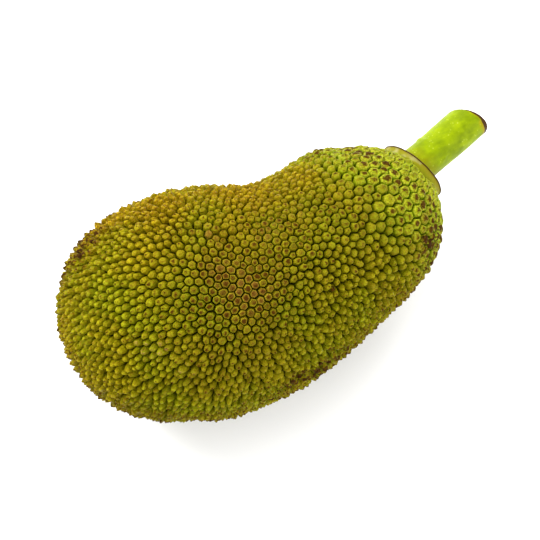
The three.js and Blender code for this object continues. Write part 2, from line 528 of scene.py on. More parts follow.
def settled_points(points, skin, usual, own_size, rounds):
    """The points after each has pushed its neighbours away until they lie evenly on the skin."""
    for _ in range(rounds):
        near = KDTree(len(points))
        for index, point in enumerate(points):
            near.insert(point, index)
        near.balance()
        found = [[hit[1] for hit in near.find_n(point, NEIGHBOURS + 1)][1:] for point in points]
        found = np.array(found)
        spacing = spine_spacing(points, usual) * own_size
        apart = points[:, None] - points[found]
        to_collar = STEM_END.foot - points
        way = to_collar / np.maximum(np.linalg.norm(to_collar, axis=1, keepdims=True), TINY)
        squeeze = 1 - 1 / stretch_at(points)[:, None]
        along = (apart * way[:, None]).sum(2)
        measured = apart - (squeeze * along)[:, :, None] * way[:, None]
        distance = np.linalg.norm(measured, axis=2)
        wanted = PUSH_REACH * (spacing[:, None] + spacing[found])
        push = np.clip(1 - distance / wanted, 0, 1) / np.maximum(distance, TINY)
        move = (apart * (push * wanted)[:, :, None]).sum(1) * PUSH
        points = np.array([skin.find_nearest(point)[0] for point in points + move])
    return points


def net_triangles(points):
    """Triangles that join the points into one closed net, each as even as it can be."""
    middle = (points.min(0) + points.max(0)) / 2
    ball = bmesh.new()
    for way in points - middle:
        ball.verts.new(way / np.linalg.norm(way))
    ball.verts.index_update()
    bmesh.ops.convex_hull(ball, input=ball.verts)
    bmesh.ops.recalc_face_normals(ball, faces=ball.faces)
    triangles = [[vertex.index for vertex in face.verts] for face in ball.faces]
    ball.free()
    return evened(points, triangles)


MOST_TURNS = 20  # of edges for each point, far more than are ever needed
MORE_EVEN = 1e-6  # by how much a turned edge must be better
FLAT_CORNER = 1e-12  # the smallest size of a corner that is measured


def evened(points, triangles):
    """Turns the edge between two triangles wherever the other diagonal makes them more even."""
    places = [Vector(point) for point in points]
    across = {}
    for a, b, c in triangles:
        across[a, b], across[b, c], across[c, a] = c, a, b

    def slack(a, b, corner):
        one, other = places[a] - places[corner], places[b] - places[corner]
        return one.dot(other) / max(one.cross(other).length, FLAT_CORNER)

    waiting = [edge for edge in across if edge[0] < edge[1]]
    turns = 0
    while waiting and turns < MOST_TURNS * len(points):
        a, b = waiting.pop()
        if (a, b) not in across:
            continue
        c, d = across[a, b], across[b, a]
        even = slack(a, b, c) + slack(a, b, d) > -MORE_EVEN
        if even or (c, d) in across or (d, c) in across:
            continue
        del across[a, b], across[b, a]
        across[a, d], across[d, c], across[c, a] = c, a, d
        across[d, b], across[b, c], across[c, d] = c, d, b
        waiting += [(a, d), (d, b), (b, c), (c, a)]
        turns += 1
    return [[a, b, c] for (a, b), c in across.items() if a < b and a < c]


def outward_normals(points, triangles):
    """The net's normals at its points, averaged over the triangles around each."""
    faces = np.array(triangles)
    a, b, c = (points[faces[:, k]] for k in range(3))
    normals = np.zeros_like(points)
    flat = np.cross(b - a, c - a)
    for k in range(3):
        np.add.at(normals, faces[:, k], flat)
    return normals / np.linalg.norm(normals, axis=1, keepdims=True)


# Marks on the rind, as (place, reach, strength).
BROWN_PLACES = (
    ((-0.172, 0.075, 0.155), 0.020, 1.5),
    ((-0.158, 0.082, 0.158), 0.016, 1.5),
    ((-0.183, 0.070, 0.130), 0.022, 1.4),
    ((-0.160, 0.096, 0.130), 0.022, 1.4),
    ((-0.125, 0.104, 0.135), 0.016, 1.1),
    ((-0.100, 0.108, 0.130), 0.014, 0.9),
    ((-0.052, -0.106, 0.109), 0.014, 1.6),
    ((-0.029, -0.105, 0.101), 0.018, 1.8),
    ((-0.003, -0.100, 0.101), 0.016, 1.4),
    ((-0.075, -0.108, 0.100), 0.014, 1.2),
    ((0.109, -0.052, 0.125), 0.013, 1.5),
    ((0.003, -0.063, 0.170), 0.005, 1.3),
    ((-0.215, 0.030, 0.120), 0.015, 1.0),
    ((-0.220, -0.030, 0.100), 0.012, 1.1),
    ((-0.185, -0.085, 0.110), 0.014, 1.2),
    ((0.060, 0.066, 0.140), 0.012, 1.0),
)
WORN_PLACES = (
    ((-0.071, -0.035, 0.195), 0.055, 1.0),
    ((-0.020, -0.010, 0.190), 0.045, 0.8),
    ((-0.090, -0.060, 0.180), 0.050, 0.6),
    ((0.040, -0.010, 0.180), 0.040, 0.5),
)
PINK_PLACES = (
    ((-0.065, -0.040, 0.194), 0.017, 0.9),
    ((-0.074, 0.019, 0.200), 0.008, 1.0),
    ((-0.077, -0.016, 0.200), 0.012, 0.7),
    ((-0.029, -0.001, 0.195), 0.008, 0.5),
)
CHAFED_PLACES = (
    ((-0.159, -0.037, 0.178), 0.008, 1.2),
    ((-0.148, -0.047, 0.178), 0.008, 1.1),
    ((-0.137, -0.069, 0.167), 0.005, 1.0),
)
GOLD_PLACES = (
    ((-0.084, 0.085, 0.165), 0.060, 0.9),
    ((-0.029, 0.060, 0.165), 0.050, 0.8),
    ((-0.137, 0.095, 0.150), 0.050, 0.9),
    ((0.020, 0.050, 0.160), 0.035, 0.5),
    ((-0.215, 0.010, 0.110), 0.050, 0.4),
)


def marks(points, places):
    """How strongly the marks show at these points."""
    total = np.zeros(len(points))
    for place, reach, strength in places:
        near = ((points - np.array(place)) ** 2).sum(1)
        total = np.maximum(total, strength * np.exp(-near / reach**2))
    return total


SPINE_PROUD = 0.0019  # how far the spines' tips reach over the skin
RAMP_WIDTH = 0.022  # past the bare ring, over which the skin climbs to the collar
RAMP_HEIGHT = 0.0065

# How high a spine is, as changes to the usual height.
SPROUT_WIDTH = 0.022  # past the bare ring, over which the spines reach their height
SPROUT_SHARE = 0.30  # of their height, at the bare ring
BARE_HEIGHT = 0.0002  # inside the bare ring
LOWER_NEAR_STEM = 0.30
LOWER_REACH = 0.16  # from the collar's foot
LOWER_WHERE_WORN = 0.28
TALLER_AT_BLOSSOM = 0.18
TALLEST = 1.06  # of like spines, the highest, and how much lower the lowest are
TALLEST_TO_LOWEST = 0.24

# Where the fresh spines by the stem, the blossom end and the flanks are.
STEM_REACH = 0.085  # past the bare ring
BLOSSOM_FROM = -0.06  # along X
BLOSSOM_WIDTH = 0.08
FLANK_TOP = 0.150  # over the floor
FLANK_HEIGHT = 0.05
WORN_NEAR_STEM = 0.55  # how much the fresh spines look like worn ones

# How brown a spine's tip is: what it starts from, and what each thing adds.
BROWN_START = -0.18
BROWN_WHERE_WORN = 0.50
BROWN_NEAR_STEM = 1.10
BROWN_ON_FLANKS = 0.80
BROWN_LUCK = 0.85
LESS_LUCK_NEAR_STEM = 0.60
CLEAN_BY_COLLAR = 4.0  # what the first rows of spines lose
CLEAN_WIDTH = 0.028  # past the bare ring

BROWN_PLACE_START = 0.7  # in a brown place, what its tip starts from
BROWN_PLACE_LUCK = 0.6

# The lowest and highest that a spine's own size strays, in units of the unevenness.
OWN_SIZES = (-1.6, 1.9)

# Which spines a mark skips: it shows where a draw from 0 to 1 comes out above this.
PINK_ABOVE = 0.35
STRAY_PINK_ABOVE = 0.95  # outside the pink places, where the rind is worn
STRAY_PINK = 0.5  # how strong such a stray mark is
CHAFED_ABOVE = 0.3

# How full a spine is: what it starts from, and what facing up and the stem's nearness add.
FULL_START = -1.4
FULL_FACING_UP = 2.2
FULL_NEAR_STEM = 2.5
FRESH_NEAR_STEM = 1.5  # how soon the skin turns fresh towards the stem
ANGULAR_WHERE_WORN = 0.4  # how much less round a spine is there
ANGULAR_NEAR_STEM = 1.6

# How far a spine strays from standing straight on the skin.
LEAN_SLIM = 0.16
LEAN_LESS_WHEN_FULL = 0.12
LEAN_TO_BLOSSOM = 0.55


def tip_browns(points, worn, near_stem, beyond, luck):
    """How brown each spine's tip is."""
    flank = np.clip((FLANK_TOP - points[:, 2]) / FLANK_HEIGHT, 0, 1)
    brown = BROWN_START + BROWN_WHERE_WORN * worn + BROWN_NEAR_STEM * near_stem
    brown += BROWN_ON_FLANKS * flank * (1 - near_stem)
    brown += (BROWN_LUCK - LESS_LUCK_NEAR_STEM * near_stem) * (luck - 0.5)
    brown -= CLEAN_BY_COLLAR * np.clip(1 - beyond / CLEAN_WIDTH, 0, 1)
    placed = marks(points, BROWN_PLACES) * (BROWN_PLACE_START + BROWN_PLACE_LUCK * luck)
    return np.maximum(brown, placed)


def rind_net(sizes):
    """The net whose points are the spines' middles, with what each spine is like on its points."""
    draw = np.random.default_rng(sizes.seed)
    corners, faces, skin = fruit_skin()
    points = scattered_points(corners, faces, sizes.spacing, draw)
    own_size = 1 + sizes.unevenness * np.clip(draw.normal(size=len(points)), *OWN_SIZES)
    points = settled_points(points, skin, sizes.spacing, own_size, sizes.rounds)
    triangles = net_triangles(points)
    normals = outward_normals(points, triangles)
    count = len(points)

    beyond = np.linalg.norm(points - STEM_END.foot, axis=1) - sizes.bare_radius
    near_stem = np.clip(1 - beyond / STEM_REACH, 0, 1)
    blossom_end = np.clip((BLOSSOM_FROM - points[:, 0]) / BLOSSOM_WIDTH, 0, 1)
    sprouted = np.clip(beyond / SPROUT_WIDTH, 0, 1)
    worn = marks(points, WORN_PLACES)
    share = 1 - LOWER_NEAR_STEM * nearness(points, LOWER_REACH) - LOWER_WHERE_WORN * worn
    share += TALLER_AT_BLOSSOM * blossom_end
    height = sizes.spine_height * share * (SPROUT_SHARE + (1 - SPROUT_SHARE) * sprouted)
    height[beyond < 0] = BARE_HEIGHT
    own_height = height * (TALLEST - TALLEST_TO_LOWEST * draw.random(count))
    base = points - normals * (height - SPINE_PROUD * sprouted)[:, None]
    climb = np.clip(1 - beyond / RAMP_WIDTH, 0, 1) ** 2 * (beyond > 0)
    base += RAMP_HEIGHT * climb[:, None] * STEM_END.along

    worn = np.maximum(worn, WORN_NEAR_STEM * near_stem)
    brown = tip_browns(points, worn, near_stem, beyond, draw.random(count))
    pink = marks(points, PINK_PLACES) * (draw.random(count) > PINK_ABOVE)
    pink = np.maximum(pink, (draw.random(count) > STRAY_PINK_ABOVE) * STRAY_PINK * worn)
    upper = FULL_FACING_UP * normals[:, 2] + FULL_START
    full = np.clip(np.maximum.reduce([worn, near_stem * FULL_NEAR_STEM, upper]), 0, 1)
    lean = (LEAN_SLIM - LEAN_LESS_WHEN_FULL * full)[:, None] * draw.normal(size=(count, 3))
    axis = normals + lean
    axis[:, 0] -= LEAN_TO_BLOSSOM * blossom_end
    axis /= np.linalg.norm(axis, axis=1, keepdims=True)

    angular = ANGULAR_WHERE_WORN * worn + ANGULAR_NEAR_STEM * near_stem
    mesh = bpy.data.meshes.new("rind_net")
    mesh.from_pydata(base.tolist(), [], triangles)
    paint(
        mesh,
        height_share=own_height / sizes.spine_height,
        brown=brown,
        worn=worn,
        pink=pink,
        gold=marks(points, GOLD_PLACES),
        fresh=np.clip(near_stem * FRESH_NEAR_STEM, 0, 1),
        tone=draw.random(count),
        roundness=np.clip(1 - angular, 0, 1),
        fullness=full,
        chafed=marks(points, CHAFED_PLACES) * (draw.random(count) > CHAFED_ABOVE),
    )
    directions = mesh.attributes.new("spine_axis", "FLOAT_VECTOR", "POINT").data
    directions.foreach_set("vector", axis.astype(np.float32).ravel())
    return mesh


# ---- The spines, grown on the net -------------------------------------------------------------------


class Grower:
    """A geometry node tree in the making."""

    def __init__(self, name, inputs):
        self.tree = bpy.data.node_groups.new(name, "GeometryNodeTree")
        sides = self.tree.interface
        sides.new_socket("Geometry", in_out="INPUT", socket_type="NodeSocketGeometry")
        for label, note in inputs.items():
            sides.new_socket(label, in_out="INPUT", socket_type="NodeSocketFloat", description=note)
        sides.new_socket("Geometry", in_out="OUTPUT", socket_type="NodeSocketGeometry")
        self.start = self.tree.nodes.new("NodeGroupInput")
        self.end = self.tree.nodes.new("NodeGroupOutput")

    def add(self, kind, settings=None, sockets=None):
        """A node of this kind: its settings first, then its sockets by name or number."""
        node = self.tree.nodes.new(kind)
        for name, value in (settings or {}).items():
            setattr(node, name, value)
        for name, value in (sockets or {}).items():
            if isinstance(value, bpy.types.NodeSocket):
                self.tree.links.new(value, node.inputs[name])
            else:
                node.inputs[name].default_value = value
        return node

    def named(self, name, kind="FLOAT"):
        """What the geometry carries under this name."""
        node = self.add("GeometryNodeInputNamedAttribute", {"data_type": kind}, {"Name": name})
        return node.outputs["Attribute"]

    def stored(self, geometry, name, value, kind="FLOAT", domain="POINT", chosen=True):
        """The geometry, carrying the value under this name where it is chosen."""
        settings = {"data_type": kind, "domain": domain}
        sockets = {"Geometry": geometry, "Name": name, "Value": value, "Selection": chosen}
        return self.add("GeometryNodeStoreNamedAttribute", settings, sockets).outputs[0]

    def math(self, operation, *values):
        sockets = dict(enumerate(values))
        return self.add("ShaderNodeMath", {"operation": operation}, sockets).outputs[0]

    def vector(self, operation, *values, output=0):
        sockets = dict(enumerate(values))
        return self.add("ShaderNodeVectorMath", {"operation": operation}, sockets).outputs[output]

    def scaled(self, vector, scale):
        sockets = {0: vector, "Scale": scale}
        return self.add("ShaderNodeVectorMath", {"operation": "SCALE"}, sockets).outputs[0]


def ring_middle(grower, height):
    """The middle of a spine's ring, at this share of the spine's height along its axis."""
    lift = grower.math("MULTIPLY", grower.named("spine_height"), height)
    rise = grower.scaled(grower.named("spine_axis", "FLOAT_VECTOR"), lift)
    return grower.vector("ADD", grower.named("spine_middle", "FLOAT_VECTOR"), rise)


def spine_ring(grower, geometry, top, before, ring, label):
    """Raises the top face of every spine by one ring, drawn in and rounded towards a circle."""
    (width_before, height_before), (width, height, rounding, rise) = before, ring
    sockets = {"Mesh": geometry, "Selection": top, "Offset Scale": 0.0, "Individual": True}
    raised = grower.add("GeometryNodeExtrudeMesh", {"mode": "FACES"}, sockets)
    raised.label = label
    mesh, top = raised.outputs["Mesh"], raised.outputs["Top"]

    place = grower.add("GeometryNodeInputPosition").outputs[0]
    spoke = grower.vector("SUBTRACT", place, ring_middle(grower, height_before))
    length = grower.vector("LENGTH", spoke, output="Value")
    even = grower.math("MULTIPLY", grower.named("spine_radius"), width_before)
    evening = grower.math("DIVIDE", even, grower.math("MAXIMUM", length, 1e-5))
    share = grower.math("MULTIPLY", grower.named("roundness"), rounding)
    change = grower.math("MULTIPLY", share, grower.math("SUBTRACT", evening, 1.0))
    narrowing = grower.math("DIVIDE", width, width_before)
    drawn = grower.math("MULTIPLY", grower.math("ADD", 1.0, change), narrowing)
    new_place = grower.vector("ADD", ring_middle(grower, height), grower.scaled(spoke, drawn))
    sockets = {"Geometry": mesh, "Selection": top, "Position": new_place}
    moved = grower.add("GeometryNodeSetPosition", {}, sockets).outputs[0]
    return grower.stored(moved, "rise", rise, chosen=top), top


# Each ring of a spine, from its foot: its width as a share of the foot's, on a slim spine and on a
# full one, its height as a share of the spine's, how far it is rounded, and the number that its
# colour goes by.
SPINE_RINGS = (
    (0.94, 0.97, 0.28, 0.05, 0.25),
    (0.81, 0.91, 0.62, 0.10, 0.50),
    (0.52, 0.78, 0.88, 0.16, 0.75),
    (0.12, 0.25, 1.02, 0.40, 1.00),
)
GNARL_SCALE = 230.0  # how closely the spines' corners stray one way and another


def gnarled(grower, geometry):
    """The spines, with their corners moved a little, and neighbouring corners much alike."""
    sockets = {"Scale": GNARL_SCALE, "Detail": 2.0, "Roughness": 0.5}
    clouds = grower.add("ShaderNodeTexNoise", {"noise_dimensions": "3D"}, sockets)
    shift = grower.vector("SUBTRACT", clouds.outputs["Color"], (0.5, 0.5, 0.5))
    offset = grower.scaled(shift, grower.start.outputs["Gnarl"])
    sockets = {"Geometry": geometry, "Offset": offset}
    return grower.add("GeometryNodeSetPosition", {}, sockets).outputs[0]


def spine_tree(material):
    """Turns a net of triangles into one spine for each of its points."""
    inputs = {
        "Height": "Height of a usual spine",
        "Fullness": "How much fuller than slim the full spines are",
        "Gnarl": "How far the spines' corners stray",
    }
    grower = Grower("grow_spines", inputs)
    net = grower.start.outputs["Geometry"]
    cells = grower.add("GeometryNodeDualMesh", {}, {"Mesh": net}).outputs[0]
    place = grower.add("GeometryNodeInputPosition").outputs[0]
    area = grower.add("GeometryNodeInputMeshFaceArea").outputs[0]
    radius = grower.math("SQRT", grower.math("DIVIDE", area, math.pi))
    tall = grower.math("MULTIPLY", grower.named("height_share"), grower.start.outputs["Height"])
    geometry = grower.stored(cells, "spine_middle", place, "FLOAT_VECTOR", "FACE")
    geometry = grower.stored(geometry, "spine_radius", radius, "FLOAT", "FACE")
    geometry = grower.stored(geometry, "spine_height", tall, "FLOAT", "FACE")
    geometry = grower.stored(geometry, "rise", 0.0)

    full = grower.math("MULTIPLY", grower.named("fullness"), grower.start.outputs["Fullness"])
    top, before = True, (1.0, 0.0)
    for number, (slim, fat, height, rounding, rise) in enumerate(SPINE_RINGS):
        width = grower.math("ADD", slim, grower.math("MULTIPLY", full, fat - slim))
        ring = (width, height, rounding, rise)
        geometry, top = spine_ring(grower, geometry, top, before, ring, f"ring {number + 1}")
        before = ring[:2]

    sockets = {"Geometry": gnarled(grower, geometry), "Shade Smooth": False}
    faceted = grower.add("GeometryNodeSetShadeSmooth", {}, sockets).outputs[0]
    real = grower.add("GeometryNodeRealizeInstances", {}, {"Geometry": faceted}).outputs[0]
    sockets = {"Geometry": real, "Material": material}
    final = grower.add("GeometryNodeSetMaterial", {}, sockets).outputs[0]
    grower.tree.links.new(final, grower.end.inputs["Geometry"])
    return grower.tree


def grown(name, mesh, tree, values):
    """The plain mesh that a node tree makes of a mesh, as an object, with no modifier left on it."""
    piece = linked(name, mesh)
    modifier = piece.modifiers.new("grow", "NODES")
    modifier.node_group = tree
    for item in tree.interface.items_tree:
        if item.in_out == "INPUT" and item.name in values:
            modifier[item.identifier] = values[item.name]
    graph = bpy.context.evaluated_depsgraph_get()
    result = bpy.data.meshes.new_from_object(
        piece.evaluated_get(graph), preserve_all_data_layers=True, depsgraph=graph
    )
    piece.modifiers.clear()
    piece.data = result
    result.name = name
    return piece


def keep_above_floor(mesh):
    """Flattens what would reach below the surface that the fruit lies on."""
    points = np.empty(len(mesh.vertices) * 3, np.float32)
    mesh.vertices.foreach_get("co", points)
    points = points.reshape(-1, 3)
    points[:, 2] = np.maximum(points[:, 2], 0)
    mesh.vertices.foreach_set("co", points.ravel())
    mesh.update()


# ---- Collar and stem --------------------------------------------------------------------------------


def lathe_mesh(name, rings):
    """A closed mesh through rings of points, with each end closed by a fan to its middle."""
    around = rings.shape[1]
    points = rings.reshape(-1, 3).tolist()
    last = len(points) - around
    steps = [(step, (step + 1) % around) for step in range(around)]
    faces = []
    for low in range(0, last, around):
        high = low + around
        faces += [(low + step, low + after, high + after, high + step) for step, after in steps]
    for first in (0, last):
        points.append(rings[first // around].mean(0).tolist())
        faces += [(first + step, first + after, len(points) - 1) for step, after in steps]
    mesh = bpy.data.meshes.new(name)
    mesh.from_pydata(points, [], faces)
    shape = bmesh.new()
    shape.from_mesh(mesh)
    bmesh.ops.recalc_face_normals(shape, faces=shape.faces)
    shape.to_mesh(mesh)
    shape.free()
    mesh.shade_smooth()
    return mesh


def ripple(points, scale, seed):
    """Smooth noise from -1 to 1 at these points, with features 1 / scale metres apart."""
    shift = Vector((seed * 7.3, seed * 3.1, seed * 5.7))
    return np.array([noise.noise(Vector(point) * scale + shift) for point in points])


def ripples(points, waves):
    """The sum of several ripples, each given as (scale, seed, height)."""
    return sum(ripple(points, scale, seed) * height for scale, seed, height in waves)


COLLAR_STEPS = 160  # facets round the collar

# The collar's outline from inside the fruit over its rim and into the dish: its radius past the
# rim's, its height as a share of the collar's, and there the marks of its rim and of its dish and
# how far its colour has climbed.
COLLAR_OUTLINE = (
    (0.0040, -0.61, 0.0, 0.0, 0.0),
    (0.0018, -0.122, 0.0, 0.0, 0.0),
    (0.0004, 0.16, 0.0, 0.0, 0.2),
    (-0.0004, 0.36, 0.0, 0.0, 0.4),
    (-0.0006, 0.58, 0.0, 0.0, 0.6),
    (-0.0002, 0.76, 0.0, 0.0, 0.8),
    (0.0003, 0.83, 0.1, 0.0, 0.95),
    (0.0009, 0.87, 1.0, 0.0, 1.0),
    (0.0011, 0.94, 1.0, 0.0, 1.0),
    (0.0006, 1.00, 1.0, 0.0, 1.0),
    (-0.0008, 1.00, 1.0, 0.2, 1.0),
    (-0.0016, 0.93, 0.8, 1.0, 1.0),
    (-0.0040, 0.80, 0.3, 1.0, 0.8),
    (-0.0080, 0.68, 0.0, 1.0, 0.6),
    (-0.0125, 0.62, 0.0, 1.0, 0.4),
    (-0.01771, 0.60, 0.0, 1.0, 0.3),
    (-0.02254, 0.50, 0.0, 1.0, 0.2),
)
COLLAR_WAVES = ((45, 1, 0.0007), (140, 2, 0.0003))
COLLAR_RAGGED = ((90, 3, 0.0004),)  # along its axis


def collar_mesh(sizes):
    """The collar: a short flaring cuff with a thin, slightly ragged rim and a shallow dish."""
    angle = np.linspace(0, 2 * np.pi, COLLAR_STEPS, endpoint=False)
    rings = []
    for past_rim, share, *_ in COLLAR_OUTLINE:
        radius = sizes.rim_radius + past_rim
        height = np.full(COLLAR_STEPS, share * STEM_END.height)
        rings.append(STEM_END.place(height, radius * np.cos(angle), radius * np.sin(angle)))
    rings = np.array(rings)
    points = rings.reshape(-1, 3)
    spoke = points - STEM_END.foot
    spoke -= np.outer(spoke @ STEM_END.along, STEM_END.along)
    spoke /= np.linalg.norm(spoke, axis=1, keepdims=True)
    moved = points + spoke * ripples(points, COLLAR_WAVES)[:, None]
    moved += np.outer(ripples(points, COLLAR_RAGGED), STEM_END.along)
    mesh = lathe_mesh("collar_cuff", moved.reshape(rings.shape))
    _, _, rim, dish, climb = (np.repeat(column, COLLAR_STEPS) for column in zip(*COLLAR_OUTLINE))
    paint(mesh, rim=rim, dish=dish, climb=climb)
    return mesh


STEM_STEPS = 96  # facets round the stem
STEM_RINGS = 64  # rings of them along its bark
STEM_SINKS = -0.04  # where the bark starts inside the collar, as a share of the stem's length
STEM_CROWDING = 0.85  # how the bark's rings crowd towards the cut, as a power
BARK_END = 0.985  # the share of the length at which the bark ends and the cut's edge begins
DRY_FROM = 0.8  # the share of the length from which the bark dries towards the cut
FLARE_SHARE = 0.05  # of the length, over which the foot's flare dies out

# The rings from the cut's edge to its middle: share of the length, share of the radius, how deep
# they are sunk, how far the cut face shows, and how far from its middle its colour goes by.
CUT_RINGS = (
    (0.995, 1.000, 0.0, 0.0, 1.00),
    (1.0, 0.965, 0.0, 0.3, 1.00),
    (1.0, 0.920, 0.0002, 1.0, 0.96),
    (1.0, 0.870, 0.0009, 1.0, 0.86),
    (1.0, 0.780, 0.0012, 1.0, 0.72),
    (1.0, 0.600, 0.0011, 1.0, 0.50),
    (1.0, 0.360, 0.0008, 1.0, 0.30),
    (1.0, 0.160, 0.0013, 1.0, 0.10),
    (1.0, 0.050, 0.0018, 1.0, 0.00),
)
BARK_WAVES = ((40, 4, 0.0005), (170, 6, 0.00018))
KNOB_SCALE = 95  # how close together the bark's knobs are
KNOB_FROM = 0.42  # the height of their ripple from which they show
KNOB_HEIGHT = 0.0035
CUT_WAVES = ((420, 7, 0.0003),)


def stem_mesh(sizes):
    """The stem: a stout, slightly bowed stalk with low scars and a slanting, sunken cut face."""
    angle = np.linspace(0, 2 * np.pi, STEM_STEPS, endpoint=False)
    rings, marked = [], []

    def ring(share, factor, sink, **marks_here):
        side = sizes.radius * factor * np.cos(angle)
        up = sizes.radius * factor * np.sin(angle)
        slant = sizes.slant_sideways * side + sizes.slant_upwards * up
        cut = share * sizes.length * (1 + slant / sizes.length) - sink
        middle = sizes.offset + sizes.lean * cut + sizes.bow * cut**2
        rings.append(STEM_END.place(sizes.start + cut, middle + side, up))
        marked.append(marks_here)

    shares = np.linspace(0, 1, STEM_RINGS + 1) ** STEM_CROWDING * BARK_END
    for share in (STEM_SINKS, *shares):
        outside = max(share, 0.0)
        flare = sizes.foot_flare * math.exp(-outside / FLARE_SHARE) + sizes.end_flare * outside**3
        reach = max(0.0, (share - DRY_FROM) / (1 - DRY_FROM))
        ring(share, 1 + flare, 0.0, climb=share, reach=reach, face=0.0, core=1.0)
    for share, factor, sink, face, core in CUT_RINGS:
        ring(share, factor * (1 + sizes.end_flare), sink, climb=1.0, reach=1.0, face=face, core=core)

    rings = np.array(rings)
    numbers = {name: np.repeat([row[name] for row in marked], STEM_STEPS) for name in marked[0]}
    points = rings.reshape(-1, 3)
    spoke = points - np.repeat(rings.mean(1), STEM_STEPS, axis=0)
    spoke /= np.maximum(np.linalg.norm(spoke, axis=1, keepdims=True), TINY)
    knobs = np.clip(ripple(points, KNOB_SCALE, 5) - KNOB_FROM, 0, 1) * KNOB_HEIGHT
    wave = (ripples(points, BARK_WAVES) + knobs) * (1 - numbers["face"])
    points = points + spoke * wave[:, None]
    rough = ripples(points, CUT_WAVES) * numbers["face"]
    points = points + np.outer(rough, STEM_END.along)
    mesh = lathe_mesh("stem_stalk", points.reshape(rings.shape))
    paint(mesh, dried=np.tile(0.5 - 0.5 * np.cos(angle), len(rings)), **numbers)
    return mesh


# ---- Properties -------------------------------------------------------------------------------------


def colour_property(name, note, value):
    return FloatVectorProperty(
        name=name, description=note, default=value, subtype="COLOR", size=3, min=0, max=1
    )


def length_property(name, note, value):
    return FloatProperty(name=name, description=note, default=value, unit="LENGTH", precision=4)


def share_property(name, note, value):
    return FloatProperty(name=name, description=note, default=value, precision=3)


def angle_property(name, note, degrees):
    angle = math.radians(degrees)
    return FloatProperty(name=name, description=note, default=angle, subtype="ANGLE")


class JACKFRUIT_PG_rind(bpy.types.PropertyGroup):
    """The rind's sizes and colours."""

    seed: IntProperty(name="Seed", description="Which rind of many alike", default=7)
    rounds: IntProperty(name="Evening rounds", description="How long the spines even out", default=42)
    spacing: length_property("Spacing", "Usual distance between two spines", 0.00775)
    unevenness: share_property("Unevenness", "How unlike in size the spines are", 0.04)
    spine_height: length_property("Spine height", "Height of a usual spine", 0.0094)
    fullness: share_property("Fullness", "How much fuller than slim the full spines are", 1.0)
    gnarl: length_property("Gnarl", "How far the spines' corners stray", 0.0023)
    bare_radius: length_property("Bare radius", "Radius of the bare ring under the collar", 0.0325)
    # The grooves' colour carries painted shade besides their own dark green.
    shaded_groove_colour: colour_property("Grooves", "Colour between the spines", (0.022, 0.020, 0.001))
    flank_colour: colour_property("Flanks", "Colour of the spines' sides", (0.196, 0.178, 0.001))
    # The shoulders' colour carries a painted highlight besides their own paler skin.
    shoulder_highlight_colour: colour_property("Shoulders", "Colour of their upper edges", (0.34, 0.30, 0.006))
    crown_colour: colour_property("Crowns", "Colour inside that edge", (0.115, 0.080, 0.002))
    ring_colour: colour_property("Rings", "Colour round the brown tips", (0.10, 0.045, 0.002))
    spot_colour: colour_property("Tips", "Colour of the dried tips", (0.052, 0.017, 0.001))


class JACKFRUIT_PG_collar(bpy.types.PropertyGroup):
    """The collar's size and colours."""

    rim_radius: length_property("Rim radius", "Outer radius of the collar's rim", 0.0322)
    pale_colour: colour_property("Pale patches", "Colour of its palest skin", (0.42, 0.39, 0.18))
    dish_colour: colour_property("Dish", "Colour of the dish inside its rim", (0.20, 0.17, 0.01))
    rim_colour: colour_property("Rim", "Colour of its dried rim", (0.040, 0.014, 0.003))


class JACKFRUIT_PG_stem(bpy.types.PropertyGroup):
    """The stem's sizes and colours."""

    radius: length_property("Radius", "Radius of the stem", 0.0182)
    length: length_property("Length", "Length to the middle of the cut", 0.0738)
    foot_flare: share_property("Foot flare", "How much wider its foot is", 0.045)
    end_flare: share_property("End flare", "How much wider its cut end is", 0.018)
    start: length_property("Start", "Height of its foot over the collar's foot", 0.0057)
    offset: length_property("Offset", "How far off the collar's middle it grows", 0.002)
    lean: share_property("Lean", "Sideways run for each unit of height", -0.18)
    bow: share_property("Bow", "How the stem curves back, per metre of height squared", 0.4)
    slant_sideways: share_property("Sideways slant", "Slant of the cut, across", -0.31)
    slant_upwards: share_property("Upward slant", "Slant of the cut, upwards", 0.26)
    foot_colour: colour_property("Foot", "Colour of its bark by the collar", (0.20, 0.17, 0.002))
    speck_colour: colour_property("Specks", "Colour of the specks on its bark", (0.42, 0.48, 0.05))
    edge_colour: colour_property("Edge", "Colour of the bark round its cut", (0.045, 0.014, 0.004))


class JACKFRUIT_PG_stage(bpy.types.PropertyGroup):
    """The stage's floor and camera."""

    floor_colour: colour_property("Floor", "Colour of the floor", (0.96, 0.96, 0.96))
    azimuth: angle_property("Azimuth", "The camera's way round", -28)
    elevation: angle_property("Elevation", "The camera's height over the horizon", 70)
    distance: length_property("Distance", "From the camera to what it looks at", 1.402)
    lens: FloatProperty(name="Lens", description="Focal length in millimetres", default=103.7)
    aim: FloatVectorProperty(
        name="Aim",
        description="What the camera looks at",
        default=(-0.0247, -0.0003, 0.0984),
        subtype="TRANSLATION",
    )


# ---- Operators --------------------------------------------------------------------------------------


class JACKFRUIT_OT_rind(bpy.types.Operator):
    """Grow the rind and its spines on the fruit"""

    bl_idname = "jackfruit.rind"
    bl_label = "Rind"

    def execute(self, context):
        sizes = context.scene.jackfruit_rind
        material = rind_finish(sizes)
        values = {"Height": sizes.spine_height, "Fullness": sizes.fullness, "Gnarl": sizes.gnarl}
        piece = grown("rind", rind_net(sizes), spine_tree(material), values)
        keep_above_floor(piece.data)
        finished(piece, "fruit", material)
        return {"FINISHED"}


class JACKFRUIT_OT_collar(bpy.types.Operator):
    """Make the collar between the fruit and its stem"""

    bl_idname = "jackfruit.collar"
    bl_label = "Collar"

    def execute(self, context):
        sizes = context.scene.jackfruit_collar
        piece = linked("collar_cuff", collar_mesh(sizes))
        finished(piece, "collar", collar_finish(sizes))
        return {"FINISHED"}


